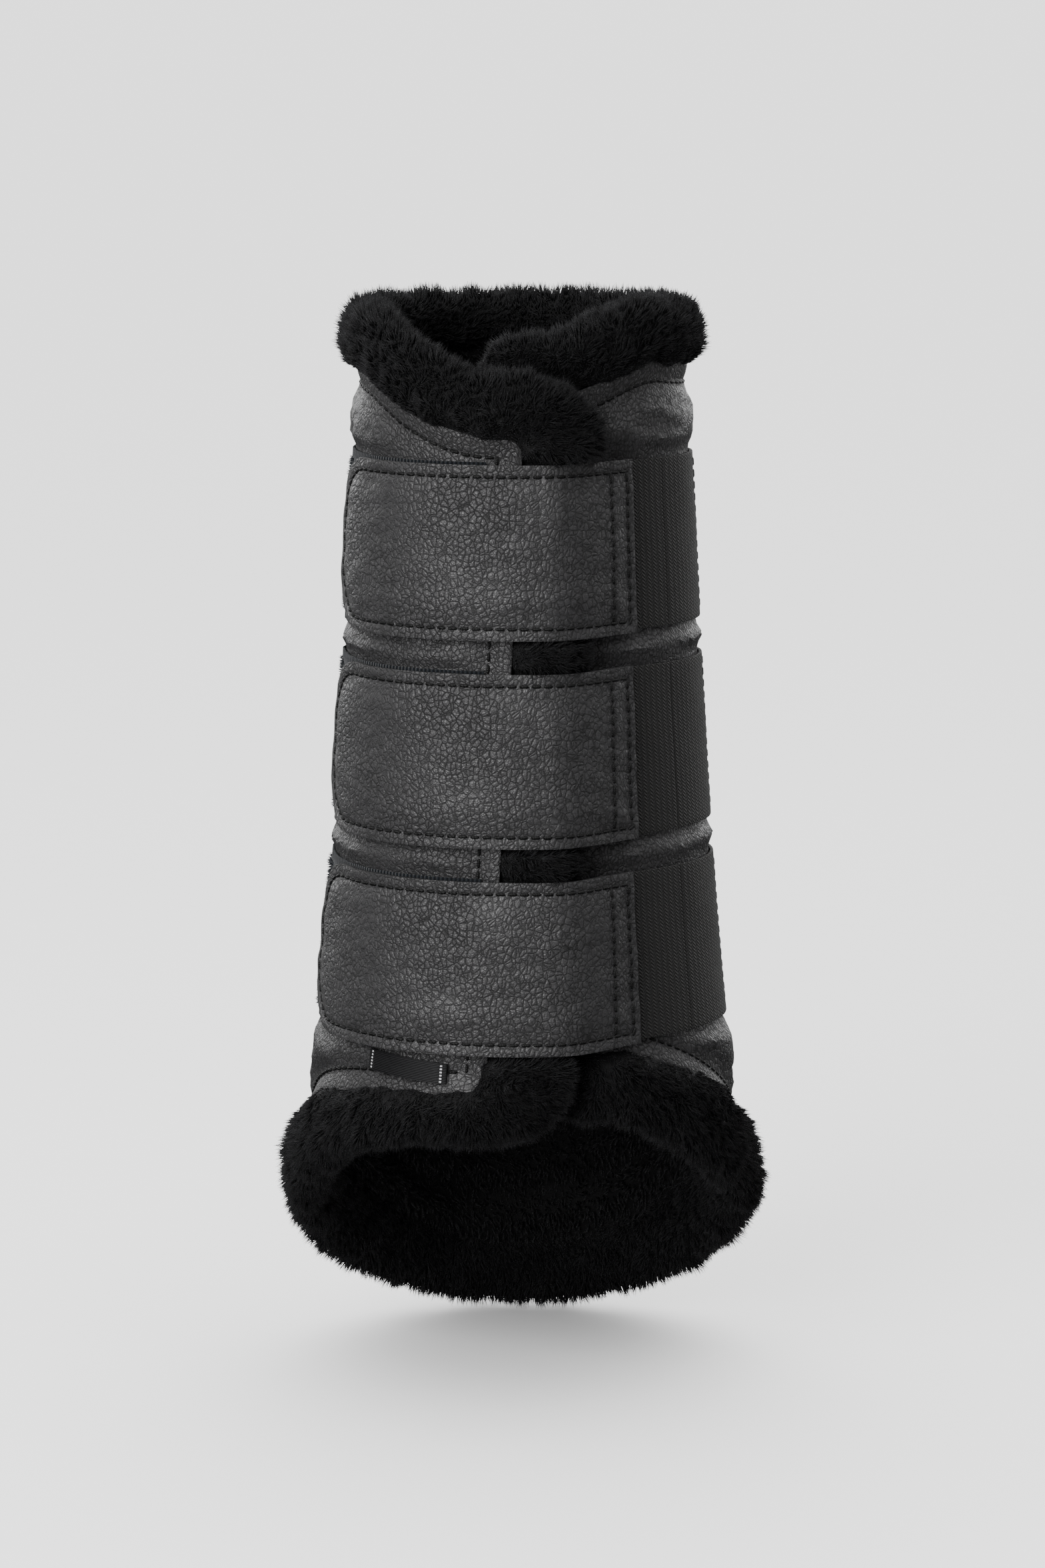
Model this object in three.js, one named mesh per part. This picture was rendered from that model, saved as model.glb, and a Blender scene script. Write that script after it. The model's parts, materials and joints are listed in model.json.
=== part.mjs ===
// A tendon boot for a horse's lower leg: a padded, plush-lined leather wrap closed by three straps.
// The wrap has a back panel and two flaps. The left flap laps over the right one at the front.
// Every strap is an elastic sewn to the right flap, and ends in a leather tab whose hook pad grips a loop
// patch on the left flap. All edges of the wrap are bound in a thick roll of plush.
//
// Millimetres, +Z up along the leg. The origin is on the leg's axis, level with the lowest edge at the back.
// A turn is an angle round the leg in degrees: 0 is the front (-Y), 90 the right (+X), 180 the back.
// An offset is a distance outwards from the outer face of the leather.

import * as THREE from "three";
import { mergeVertices } from "three/addons/utils/BufferGeometryUtils.js";

// ---- Plush rolls round the edges: widths along the surface ----
const rollTop = 19;
const rollSide = 24; // down the left flap's free edge
const rollUnderFlap = 16; // down the right flap's, under the left one
const rollBottom = 24;
const rollBottomFront = { left: 16, right: 21 };
const rollPuff = 6.5; // how far a free roll stands out of the leather
const rollPressed = 0.8; // and where the straps hold it down
const rollGap = 0.8; // between a roll and the edge that it binds

// ---- The wrap ----
const topRadius = 48; // outer face of the leather at the top edge
const bottomRadius = 64.2; // and at the bottom edge, at the sides
const flare = 0.3; // share of the widening that comes only near the bottom
const depthShare = 0.95; // front-to-back radius over side-to-side radius
const topEdge = 306; // height of the leather's top edge at the back and sides
const topDip = 13; // how much lower it is at the front
const bottomEdgeFront = 103; // height of the leather's bottom edge at the front,
const bottomEdgeSide = 78; // at the sides,
const bottomEdgeBack = rollBottom + rollGap; // and at the back
const flapSkew = 5; // the left flap is closed this much lower, the right flap this much higher

// ---- Layers, from the outside in ----
const leather = 1.2;
const guard = 1.6; // stiff plate over the tendon, in the back panel only
const foam = 3;
const lining = 5; // plush, pressed down
const gap = 0.4; // between all neighbouring pieces
const wall = leather + foam + lining + 2 * gap;

// ---- Flaps ----
const leftFold = -105; // turn of the line where the left flap folds
const rightFold = 125; // and the right flap
const foldGap = 0.5; // between a flap and the back panel, in degrees
const leftEdgeTop = 0; // turn of the left flap's leather edge at its top corner
const leftEdgeBottom = -9; // and at its bottom corner
const rightEdge = -6; // turn of the right flap's leather edge, under the left flap
const cornerRadius = 5;
const lapLift = (wall + 0.5) / 2; // the flaps shift this far out and in where one covers the other
const leftLapStart = -86; // turns where the flaps start to shift, and where they have done so
const leftLapFull = -30;
const rightLapStart = 100;
const rightLapFull = 40;

// ---- Straps ----
const strapMiddle = 194.5; // height of the middle strap
const strapPitch = 60;
const bridgeStart = 15; // turns where a strap leaves the left flap and where it meets the right one
const bridgeEnd = 64;
const elasticWidth = 50;
const elasticThickness = 1.2;
const elasticFlex = 78; // turn of the line where the elastic leaves the flap
const elasticRoot = 108; // turn where its sewn end stops
const tabWidth = 51;
const tabReach = 37; // from the front line to the tab's square end
const tabStart = -79; // turn of its round end
const tabThickness = 1.2;
const tabCorner = 20; // radius of the corners of its round end
const tailLength = 13; // of the elastic, sewn into the tab
const hookThickness = 0.8;
const hookWidth = 42;
const hookLength = 58;
const hookMargin = 7; // leather left free round the hook pad at the round end
const loopThickness = 0.8;
const loopWidth = 50;
const loopStart = -101; // turns of the loop patch's ends
const loopEnd = -11;
const labelWidth = 26;
const labelHeight = 8;
const labelThickness = 0.5;
const labelTurn = -33;

// ---- The surface ----
const rad = Math.PI / 180;
const between = THREE.MathUtils.lerp;
const ease = (x) => THREE.MathUtils.smoothstep(x, 0, 1);
const share = (x, from, to) => THREE.MathUtils.clamp((x - from) / (to - from), 0, 1);
const spaced = (from, to, count) => Array.from({ length: count + 1 }, (_, i) => between(from, to, i / count));

// Radius of the leather's outer face at a height, before the flaps shift. Past the bottom edge's height at
// the sides it goes on at the same slope.
const flarePower = 4;
function profile(height) {
  const down = (topEdge - height) / (topEdge - bottomEdgeSide);
  const past = Math.max(0, down - 1);
  const curved = Math.max(0, down - past) ** flarePower + flarePower * past;
  return between(topRadius, bottomRadius, between(down, curved, flare));
}

// How far the flaps lie out of that radius.
const noLap = () => 0;
const leftLap = (turn) => lapLift * ease(share(turn, leftLapStart, leftLapFull));
const rightLap = (turn) => -lapLift * ease(share(turn, rightLapStart, rightLapFull));

// A strap lies on the left flap's loop patches and on the right flap, and runs straight between the two.
const onLeftFlap = (turn) => leftLap(turn) + 2 * gap + loopThickness;
const onRightFlap = (turn) => rightLap(turn) + gap;
function strapLap(turn, height) {
  if (turn <= bridgeStart) return onLeftFlap(turn);
  if (turn >= bridgeEnd) return onRightFlap(turn);
  const start = Math.sin((bridgeEnd - turn) * rad) / (profile(height) + onLeftFlap(bridgeStart));
  const end = Math.sin((turn - bridgeStart) * rad) / (profile(height) + onRightFlap(bridgeEnd));
  const straight = Math.sin((bridgeEnd - bridgeStart) * rad) / (start + end) - profile(height);
  return Math.max(straight, onRightFlap(turn));
}

// The point at a turn, height and offset on a surface with that lap.
function place(turn, height, offset, lap) {
  const r = profile(height) + lap(turn, height) + offset;
  return new THREE.Vector3(r * Math.sin(turn * rad), -r * Math.cos(turn * rad) * depthShare, height);
}

// Degrees that a length along the surface takes at a height.
const degrees = (length, height) => length / profile(height) / rad;

// ---- Edges of the wrap ----
// A height that runs smoothly from its value at the front through the side to the back.
function round(turn, front, side, back) {
  const sway = (front - back) / 2;
  const mean = (front + back) / 2;
  return (mean + side) / 2 + sway * Math.cos(turn * rad) + ((mean - side) / 2) * Math.cos(2 * turn * rad);
}
const skew = { left: -flapSkew, right: flapSkew, back: 0 };
const shifted = (turn, side) => skew[side] * ease(share(Math.abs(turn), 90, 20));
const topOf = (turn, side) => topEdge - topDip * ease(share(Math.abs(turn), 65, 10)) + shifted(turn, side);
const bottomOf = (turn, side) =>
  round(turn, bottomEdgeFront, bottomEdgeSide, bottomEdgeBack) + shifted(turn, side);

// What differs between the two flaps: edge gives the turn of the free edge for v from 0 at the bottom to 1 at
// the top, and outward is the sign of a turn from the fold towards the free edge.
const leftEdge = (v) => between(leftEdgeBottom, leftEdgeTop, v);
const flaps = {
  left: { fold: leftFold + foldGap, edge: leftEdge, lap: leftLap, outward: 1 },
  right: { fold: rightFold - foldGap, edge: () => rightEdge, lap: rightLap, outward: -1 },
};

// ---- Geometry ----
// The turns at which a piece has an edge loop: its two ends, and every whole facet between them, so that
// pieces that lie on each other are faceted alike.
const facet = 8;
function turnsBetween(from, to) {
  const [low, high] = [Math.min(from, to), Math.max(from, to)];
  const inside = [];
  for (let turn = facet * Math.ceil(low / facet); turn < high; turn += facet) {
    if (Math.min(turn - low, high - turn) > facet / 8) inside.push(turn);
  }
  return [low, ...inside, high];
}

// One closed geometry from a three.js one, with every point moved.
function moved(geometry, where) {
  geometry.deleteAttribute("normal");
  geometry.deleteAttribute("uv");
  const merged = mergeVertices(geometry, 1e-4);
  const points = merged.attributes.position;
  for (let i = 0; i < points.count; i++) {
    const p = where(points.getX(i), points.getY(i), points.getZ(i));
    points.setXYZ(i, p.x, p.y, p.z);
  }
  merged.computeVertexNormals();
  return merged;
}

// A sheet of some thickness laid on the surface. It has an edge loop at each of the turns, which slant may
// change with v, and heightAt(turn, v) gives its heights, where v runs from 0 at the bottom to 1 at the top.
function sheet({ turns, slant = (turn) => turn, rows = 1, heightAt, inner, outer, lap }) {
  const columns = turns.length - 1;
  return moved(new THREE.BoxGeometry(columns, 1, 1, columns, rows, 1), (x, y, z) => {
    const v = y + 0.5;
    const turn = slant(turns[Math.round(x + columns / 2)], v);
    return place(turn, heightAt(turn, v), between(inner, outer, z + 0.5), lap);
  });
}

// A patch with straight sides, between two turns and two heights.
function patch(from, to, [low, high], inner, outer, lap) {
  const heightAt = (turn, v) => between(low, high, v);
  return sheet({ turns: turnsBetween(from, to), heightAt, inner, outer, lap });
}

// How far a rounded corner cuts in, at a distance from the edge.
function cornerCut(distance, radius) {
  const past = Math.max(0, radius - Math.max(0, distance));
  return radius - Math.sqrt(Math.max(0, radius * radius - past * past));
}

// The distances at which a rounded corner's outline has points.
const cornerSteps = (radius) => [0, 20, 40, 65].map((a) => radius * (1 - Math.cos(a * rad)));

// ---- Layers of the wrap ----
const wrapRows = 6;
function backLayer(inner, outer, inset = 0) {
  return sheet({
    turns: turnsBetween(rightFold - 360 + inset, leftFold - inset),
    rows: wrapRows,
    heightAt: (turn, v) => between(bottomOf(turn, "back") + inset, topOf(turn, "back") - inset, v),
    inner,
    outer,
    lap: noLap,
  });
}
function flapLayer(side, inner, outer) {
  const { fold, edge, lap, outward } = flaps[side];
  const top = edge(1);
  const corner = cornerSteps(cornerRadius).map((d) => top - outward * degrees(d, topEdge));
  const plain = turnsBetween(fold, top - outward * degrees(cornerRadius, topEdge));
  return sheet({
    turns: [...plain, ...corner].sort((a, b) => a - b),
    slant: (turn, v) => between(fold, edge(v), share(turn, fold, top)),
    rows: wrapRows,
    heightAt: (turn, v) => {
      const fromEdge = Math.abs(turn - edge(v)) / degrees(1, between(bottomEdgeFront, topEdge, v));
      const cut = cornerCut(fromEdge, cornerRadius);
      return between(bottomOf(turn, side) + cut, topOf(turn, side) - cut, v);
    },
    inner,
    outer,
    lap,
  });
}

// ---- Plush rolls ----
// A roll passes through stations on the wrap's edge. Each has a turn and a height, the width of the roll, and
// the way out of the wrap: 0 is along the surface to the right, and 90 is up.
const rollSections = 10;
function roll(stations, outer, lap) {
  const last = stations.length - 1;
  return moved(new THREE.CylinderGeometry(1, 1, last, rollSections, last), (x, y, z) => {
    const at = stations[Math.round(y + last / 2)];
    const reach = rollGap + (at.width / 2) * (1 + x);
    const height = at.height + reach * Math.sin(at.out * rad);
    const turn = at.turn + degrees(reach * Math.cos(at.out * rad), at.height);
    return place(turn, height, between(outer(turn, height), -wall, (z + 1) / 2), lap);
  });
}

// Stations along the top (up = 1) or bottom (up = -1) edge.
function endStations(from, to, side, up, widthAt) {
  const edgeOf = up > 0 ? topOf : bottomOf;
  const count = Math.ceil(Math.abs(to - from) / facet);
  return spaced(from, to, count).map((turn) => {
    const height = edgeOf(turn, side);
    const rise = ((edgeOf(turn + 1, side) - edgeOf(turn - 1, side)) / 2) * degrees(1, height);
    return { turn, height, out: 90 * up + Math.atan(rise) / rad, width: widthAt(turn) };
  });
}

// Stations at these angles round a corner of a flap, 90 at the end's side of the corner and 0 at the edge's.
function cornerStations(v, height, angles, endWidth, edgeWidth, { edge, outward }) {
  return angles.map((a) => ({
    turn: edge(v) - outward * degrees(cornerRadius * (1 - Math.cos(a * rad)), height),
    height: height + cornerRadius * Math.sin(a * rad),
    out: outward > 0 ? a : 180 - a,
    width: between(edgeWidth, endWidth, Math.sin(a * rad) ** 2),
  }));
}

// How far out a roll's outer side lies. The straps hold the left flap's rolls down, and the left flap holds
// the right one's down.
const strapsTop = strapMiddle + strapPitch + tabWidth / 2;
const strapsBottom = strapMiddle - strapPitch - tabWidth / 2;
const pressStart = 4; // distances from the straps over which a roll rises to its full height
const pressEnd = 12;
const freeOfStraps = (height) => ease(Math.max(
  share(height, strapsTop + pressStart, strapsTop + pressEnd),
  share(height, strapsBottom - pressStart, strapsBottom - pressEnd)));
const coveredTo = 38; // turns between which the right flap comes out from under the left one
const openFrom = 62;
const rollOuter = {
  left: (turn, height) => {
    const pressed = Math.min(rollPressed, strapLap(turn, height) - leftLap(turn) - gap);
    return between(pressed, rollPuff, freeOfStraps(height));
  },
  right: (turn) => rollPuff * ease(share(turn, coveredTo, openFrom)),
  back: () => rollPuff,
};

// ---- Materials ----
const material = (color, roughness) => new THREE.MeshStandardMaterial({ color, roughness, metalness: 0 });
const materials = {
  leather: material(0x2b2b2d, 0.48),
  plush: material(0x0b0b0d, 0.95),
  foam: material(0x3a3a3c, 0.9),
  guard: material(0x1a1a1c, 0.6),
  elastic: material(0x1c1b19, 0.85),
  loop: material(0x14171a, 1),
  hook: material(0x101012, 0.7),
  label: material(0x18181a, 0.45),
};

const boot = new THREE.Group();
function add(group, name, geometry, finish) {
  const mesh = new THREE.Mesh(geometry, finish.clone());
  mesh.name = name;
  group.add(mesh);
}

// ---- Back panel ----
const foamFace = -leather - gap; // offset of the foam's outer face
const guardInset = 12; // how far the guard stays inside the back panel's edges, in millimetres and degrees
function backPanel() {
  const group = new THREE.Group();
  add(group, "leather_back", backLayer(-leather, 0), materials.leather);
  add(group, "tendon_guard", backLayer(foamFace - guard, foamFace, guardInset), materials.guard);
  add(group, "foam_back", backLayer(foamFace - foam, foamFace - guard - gap), materials.foam);
  add(group, "lining_back", backLayer(-wall, -wall + lining), materials.plush);
  const from = leftFold;
  const to = rightFold - 360;
  const top = endStations(to, from, "back", 1, () => rollTop);
  const bottom = endStations(from, to, "back", -1, () => rollBottom);
  add(group, "top_roll_back", roll(top, rollOuter.back, noLap), materials.plush);
  add(group, "bottom_roll_back", roll(bottom, rollOuter.back, noLap), materials.plush);
  return group;
}

// ---- Flaps ----
// The three rolls of a flap meet half way round its corners.
const jointAngle = 45;
const jointGap = 1; // in degrees
const stationPitch = 9; // of the stations down a free edge
function flapRolls(side) {
  const flap = flaps[side];
  const { fold, edge, outward } = flap;
  const edgeWidth = side === "left" ? rollSide : rollUnderFlap;
  const bottomWidth = (turn) =>
    between(rollBottomFront[side], rollBottom, ease(share(Math.abs(turn), 30, 80)));
  const topEnd = edge(1) - outward * degrees(cornerRadius, topEdge);
  const bottomEnd = edge(0) - outward * degrees(cornerRadius, bottomEdgeFront);
  const high = topOf(topEnd, side) - cornerRadius;
  const low = bottomOf(bottomEnd, side) + cornerRadius;
  const upper = (...angles) => cornerStations(1, high, angles, rollTop, edgeWidth, flap);
  const lower = (...angles) => cornerStations(0, low, angles, rollBottomFront[side], edgeWidth, flap);
  const straight = spaced(1, 0, Math.ceil((high - low) / stationPitch)).map((v) => ({
    turn: edge(v), height: between(low, high, v), out: outward > 0 ? 0 : 180, width: edgeWidth,
  }));
  const [before, after] = [jointAngle + jointGap, jointAngle - jointGap];
  const stations = {
    top: [...endStations(fold, topEnd, side, 1, () => rollTop), ...upper(75, 60, before)],
    edge: [...upper(after, 30, 15), ...straight, ...lower(-15, -30, -after)],
    bottom: [...lower(-before, -60, -75), ...endStations(bottomEnd, fold, side, -1, bottomWidth)],
  };
  // The right flap's rolls are drawn the other way, so that they too have the wrap on their right.
  return Object.entries(stations).map(([name, line]) => [name, outward > 0 ? line : line.reverse()]);
}
function flap(side) {
  const group = new THREE.Group();
  add(group, "leather_" + side, flapLayer(side, -leather, 0), materials.leather);
  add(group, "foam_" + side, flapLayer(side, foamFace - foam, foamFace), materials.foam);
  add(group, "lining_" + side, flapLayer(side, -wall, -wall + lining), materials.plush);
  for (const [name, stations] of flapRolls(side)) {
    add(group, name + "_roll_" + side, roll(stations, rollOuter[side], flaps[side].lap), materials.plush);
  }
  return group;
}

// ---- Straps ----
const halves = (middle, height) => [middle - height / 2, middle + height / 2];
const loopPatch = (middle) =>
  patch(loopStart, loopEnd, halves(middle, loopWidth), gap, gap + loopThickness, leftLap);
const elasticAnchor = (middle) => patch(elasticFlex + foldGap, elasticRoot, halves(middle, elasticWidth),
  gap, gap + elasticThickness, rightLap);

// A strip along a strap with a rounded end at its lower turn.
function roundedStrip(from, to, middle, width, radius, inner, outer) {
  const corner = cornerSteps(radius).map((d) => from + degrees(d, middle));
  return sheet({
    turns: [...corner, ...turnsBetween(from + degrees(radius, middle), to)],
    heightAt: (turn, v) => {
      const half = width / 2 - cornerCut((turn - from) / degrees(1, middle), radius);
      return middle + half * (2 * v - 1);
    },
    inner,
    outer,
    lap: strapLap,
  });
}
function strap(which, middle) {
  const group = new THREE.Group();
  const squareEnd = degrees(tabReach, middle);
  const tailEnd = squareEnd - degrees(tailLength, middle);
  const hookStart = tabStart + degrees(hookMargin, middle);
  const hookEnd = hookStart + degrees(hookLength, middle);
  const face = elasticThickness + gap;
  const web = (from, to) => patch(from, to, halves(middle, elasticWidth), 0, elasticThickness, strapLap);
  add(group, "elastic_" + which, web(squareEnd + foldGap, elasticFlex), materials.elastic);
  add(group, "elastic_tail_" + which, web(tailEnd, squareEnd), materials.elastic);
  add(group, "tab_leather_" + which,
    roundedStrip(tabStart, squareEnd, middle, tabWidth, tabCorner, face, face + tabThickness),
    materials.leather);
  add(group, "hook_pad_" + which,
    roundedStrip(hookStart, hookEnd, middle, hookWidth, tabCorner - hookMargin,
      elasticThickness - hookThickness, elasticThickness),
    materials.hook);
  return group;
}

const leftFlap = flap("left");
const rightFlap = flap("right");
boot.add(backPanel(), leftFlap, rightFlap);
["bottom", "middle", "top"].forEach((which, i) => {
  const middle = strapMiddle + (i - 1) * strapPitch;
  add(leftFlap, "loop_patch_" + which, loopPatch(middle), materials.loop);
  add(rightFlap, "elastic_anchor_" + which, elasticAnchor(middle), materials.elastic);
  boot.add(strap(which, middle));
});

// The size label hangs from under the lowest loop patch.
const labelTop = strapMiddle - strapPitch - loopWidth / 2 - gap;
const labelHalf = degrees(labelWidth, labelTop) / 2;
const label = patch(labelTurn - labelHalf, labelTurn + labelHalf, [labelTop - labelHeight, labelTop],
  gap, gap + labelThickness, leftLap);
add(leftFlap, "size_label", label, materials.label);

export default boot;
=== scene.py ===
# A tendon boot for a horse's lower leg: a padded leather wrap, lined and edged with deep plush, and closed
# by three elastic straps whose leather tabs grip loop patches.
#
# Most pieces are cut flat, as a grid in the plane, and then laid on the boot's surface. A place on the
# surface is a turn round the leg in degrees (0 at the front, 90 at the right, 180 at the back), a height and
# an offset outwards from the leather's face. Lengths are in metres.

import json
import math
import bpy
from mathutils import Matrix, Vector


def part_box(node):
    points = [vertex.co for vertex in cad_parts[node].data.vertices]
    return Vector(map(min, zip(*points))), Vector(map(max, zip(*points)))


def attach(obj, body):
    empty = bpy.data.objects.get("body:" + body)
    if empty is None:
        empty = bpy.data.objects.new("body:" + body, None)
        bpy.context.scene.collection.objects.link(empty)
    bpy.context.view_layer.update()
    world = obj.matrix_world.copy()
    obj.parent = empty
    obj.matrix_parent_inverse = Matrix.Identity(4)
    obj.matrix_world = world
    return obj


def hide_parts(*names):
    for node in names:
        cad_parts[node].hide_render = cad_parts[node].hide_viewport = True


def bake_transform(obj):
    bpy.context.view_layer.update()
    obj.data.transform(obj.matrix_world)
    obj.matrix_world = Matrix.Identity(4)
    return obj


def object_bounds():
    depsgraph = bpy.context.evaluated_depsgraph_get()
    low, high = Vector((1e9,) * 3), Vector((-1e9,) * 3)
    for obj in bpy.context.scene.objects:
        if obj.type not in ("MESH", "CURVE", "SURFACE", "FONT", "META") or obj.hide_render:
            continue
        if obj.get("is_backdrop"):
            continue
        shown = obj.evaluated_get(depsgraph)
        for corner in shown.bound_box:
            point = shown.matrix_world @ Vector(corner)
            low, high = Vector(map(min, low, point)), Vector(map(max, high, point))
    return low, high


bl_info = {
    "name": "Tendon Boot",
    "version": (1, 0, 0),
    "blender": (4, 5, 0),
    "location": "View3D > Sidebar > Tendon Boot",
    "description": "Builds the soft pieces of a horse's tendon boot round its frame",
    "category": "Object",
}

import bpy
import numpy as np

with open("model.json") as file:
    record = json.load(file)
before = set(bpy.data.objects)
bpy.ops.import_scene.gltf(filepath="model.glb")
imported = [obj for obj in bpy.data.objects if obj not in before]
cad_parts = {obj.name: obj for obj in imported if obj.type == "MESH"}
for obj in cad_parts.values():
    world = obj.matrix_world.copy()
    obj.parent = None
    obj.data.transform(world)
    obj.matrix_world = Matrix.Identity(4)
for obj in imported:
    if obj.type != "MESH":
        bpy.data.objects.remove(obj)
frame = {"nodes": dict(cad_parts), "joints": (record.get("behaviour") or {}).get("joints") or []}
cad_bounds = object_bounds()

MM = 0.001
UP = np.array([[0, 0, 1]])
SIDES = ("left", "right")
STRAPS = ("bottom", "middle", "top")
SIGN = {"left": -1, "right": 1}


# ---- What a user can change ----
def length(name, default, description):
    return bpy.props.FloatProperty(
        name=name, description=description, default=default, min=0, unit="LENGTH"
    )


def colour(name, default, description):
    return bpy.props.FloatVectorProperty(
        name=name, description=description, default=default, size=3, min=0, max=1, subtype="COLOR"
    )


class BootSizes(bpy.types.PropertyGroup):
    leather: length("Leather", 1.2 * MM, "Thickness of the shell's leather")
    lip: length("Lip", 6.4 * MM, "Leather beyond the seam that binds a roll")
    bulge: length("Bulge", 1.9 * MM, "How far the leather swells between the straps")
    pile: length("Pile", 4.2 * MM, "Length of the plush at the edges")
    tuft_pitch: length("Tuft spacing", 0.56 * MM, "Distance between tufts on the rolls")
    lining_pitch: length("Lining tuft spacing", 1.25 * MM, "Distance between tufts on the lining")
    stitch_pitch: length("Stitch spacing", 3.5 * MM, "Distance from one stitch to the next")
    stitch_length: length("Stitch length", 2.7 * MM, "Visible thread of one stitch")
    thread: length("Thread", 1.05 * MM, "Thickness of the thread")
    hem: length("Hem", 3.4 * MM, "Distance of a seam from a tab's edge")
    pebble: length("Pebble", 1.65 * MM, "Size of the leather's grain")


class BootColours(bpy.types.PropertyGroup):
    leather: colour("Leather", (0.017, 0.0165, 0.0174), "Shell and tabs")
    plush: colour("Plush", (0.0038, 0.0037, 0.004), "Lining and rolls")
    elastic: colour("Elastic", (0.0046, 0.0044, 0.004), "Webbing of the straps")
    loop: colour("Loop pile", (0.0045, 0.0056, 0.0072), "Patches that the tabs grip")
    thread: colour("Thread", (0.0015, 0.0015, 0.0015), "Stitching")
    label: colour("Label", (0.0022, 0.0022, 0.0026), "Woven size label")
    floor: colour("Floor", (0.9, 0.9, 0.9), "Floor and background")


def sizes():
    return bpy.context.scene.boot_sizes


def colours():
    return bpy.context.scene.boot_colours


# ---- The boot's surface, as the frame has it ----
TOP_RADIUS = 48 * MM  # of the leather's face at its top edge
BOTTOM_RADIUS = 64.2 * MM
FLARE = 0.3
FLARE_POWER = 4
DEPTH_SHARE = 0.95  # front-to-back radius over side-to-side radius
TOP_EDGE = 306 * MM  # of the leather, at the back and the sides
TOP_DIP = 13 * MM
FLAP_SKEW = {"left": -5 * MM, "right": 5 * MM}
EDGE_FRONT, EDGE_SIDE, EDGE_BACK = 103 * MM, 78 * MM, 24.8 * MM  # of the leather's bottom edge
WALL = 10 * MM
ROLL_TOP, ROLL_BOTTOM = 19 * MM, 24 * MM  # how far the plush rolls reach out from the leather's edge
ROLL_SIDE = {"left": 24 * MM, "right": 16 * MM}
ROLL_FRONT = {"left": 16 * MM, "right": 21 * MM}
ROLL_PUFF = 6.5 * MM  # and how far they rise above its face
LAP = 5.25 * MM  # how far a flap lies out or in where they overlap
LEFT_EDGE_TOP, LEFT_EDGE_BOTTOM = 0, -9  # turns of the left flap's free edge
RIGHT_EDGE = -6
CORNER = 5 * MM
GAP = 0.4 * MM
LOOP = 0.8 * MM
ELASTIC = 1.2 * MM
TAB = 1.2 * MM
BRIDGE_START, BRIDGE_END = 11, 64  # turns between which a strap runs straight
TAB_START = -79
TAB_REACH = 37 * MM
ELASTIC_FLEX, ELASTIC_ROOT = 78, 108
LOOP_START, LOOP_END = -97, -11


def between(a, b, t):
    return a + (b - a) * t


def share(x, start, end):
    return np.clip((x - start) / (end - start), 0, 1)


def ease(x):
    x = np.clip(x, 0, 1)
    return x * x * (3 - 2 * x)


def profile(height):
    down = (TOP_EDGE - height) / (TOP_EDGE - EDGE_SIDE)
    past = np.maximum(0, down - 1)
    curved = np.maximum(0, down - past) ** FLARE_POWER + FLARE_POWER * past
    return between(TOP_RADIUS, BOTTOM_RADIUS, between(down, curved, FLARE))


def left_lap(turn, height=None):
    return LAP * ease(share(turn, -86, -30))


def right_lap(turn, height=None):
    return -LAP * ease(share(turn, 100, 40))


def side_lap(side):
    return left_lap if side == "left" else right_lap


def strap_lap(turn, height):
    """A strap lies on the loop patches and on the right flap, and runs straight between them."""
    r = profile(height)
    high = left_lap(turn) + 2 * GAP + LOOP
    low = right_lap(turn) + GAP
    crest = r + LAP + 2 * GAP + LOOP
    foot = r + right_lap(BRIDGE_END) + GAP
    angle = np.radians(np.clip(turn, BRIDGE_START, BRIDGE_END))
    start, end = math.radians(BRIDGE_START), math.radians(BRIDGE_END)
    straight = math.sin(end - start) / (np.sin(end - angle) / crest + np.sin(angle - start) / foot) - r
    bridge = np.maximum(straight, low)
    return np.where(turn <= BRIDGE_START, high, np.where(turn >= BRIDGE_END, low, bridge))


def soft_strap_lap(turn, height):
    """The same, with the crest over the flap's edge rounded as leather bends."""
    return sum(strap_lap(turn + d, height) for d in (-4, -2, 0, 2, 4)) / 5


def place(turn, height, offset, lap):
    r = profile(height) + lap(turn, height) + offset
    angle = np.radians(turn)
    x, y, z = np.broadcast_arrays(r * np.sin(angle), -r * np.cos(angle) * DEPTH_SHARE, height)
    return np.stack([x, y, z], axis=-1)


def degrees(distance, height):
    return np.degrees(distance / profile(height))


def top_of(turn, side):
    turned = np.abs(turn)
    return TOP_EDGE - TOP_DIP * ease(share(turned, 65, 10)) + FLAP_SKEW[side] * ease(share(turned, 90, 20))


def bottom_of(turn, side):
    angle = np.radians(turn)
    mean = (EDGE_FRONT + EDGE_BACK) / 2
    sway = (EDGE_FRONT - EDGE_BACK) / 2 * np.cos(angle)
    ring = (mean + EDGE_SIDE) / 2 + sway + (mean - EDGE_SIDE) / 2 * np.cos(2 * angle)
    return ring + FLAP_SKEW[side] * ease(share(np.abs(turn), 90, 20))


def free_edge(side, v):
    """Turn of a flap's free edge, for v from 0 at the bottom to 1 at the top."""
    return between(LEFT_EDGE_BOTTOM, LEFT_EDGE_TOP, v) if side == "left" else RIGHT_EDGE + 0 * v


def strap_zones():
    """Lowest and highest point of each tab."""
    boxes = [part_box("tab_leather_" + which) for which in STRAPS]
    return [(low[2], high[2]) for low, high in boxes]


def under_strap(height, fade):
    """1 where a strap lies over a height, falling to 0 over a distance."""
    cover = 0 * height
    for low, high in strap_zones():
        above = ease(share(height, low - fade, low))
        below = ease(share(height, high + fade, high))
        cover = np.maximum(cover, above * below)
    return cover


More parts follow.
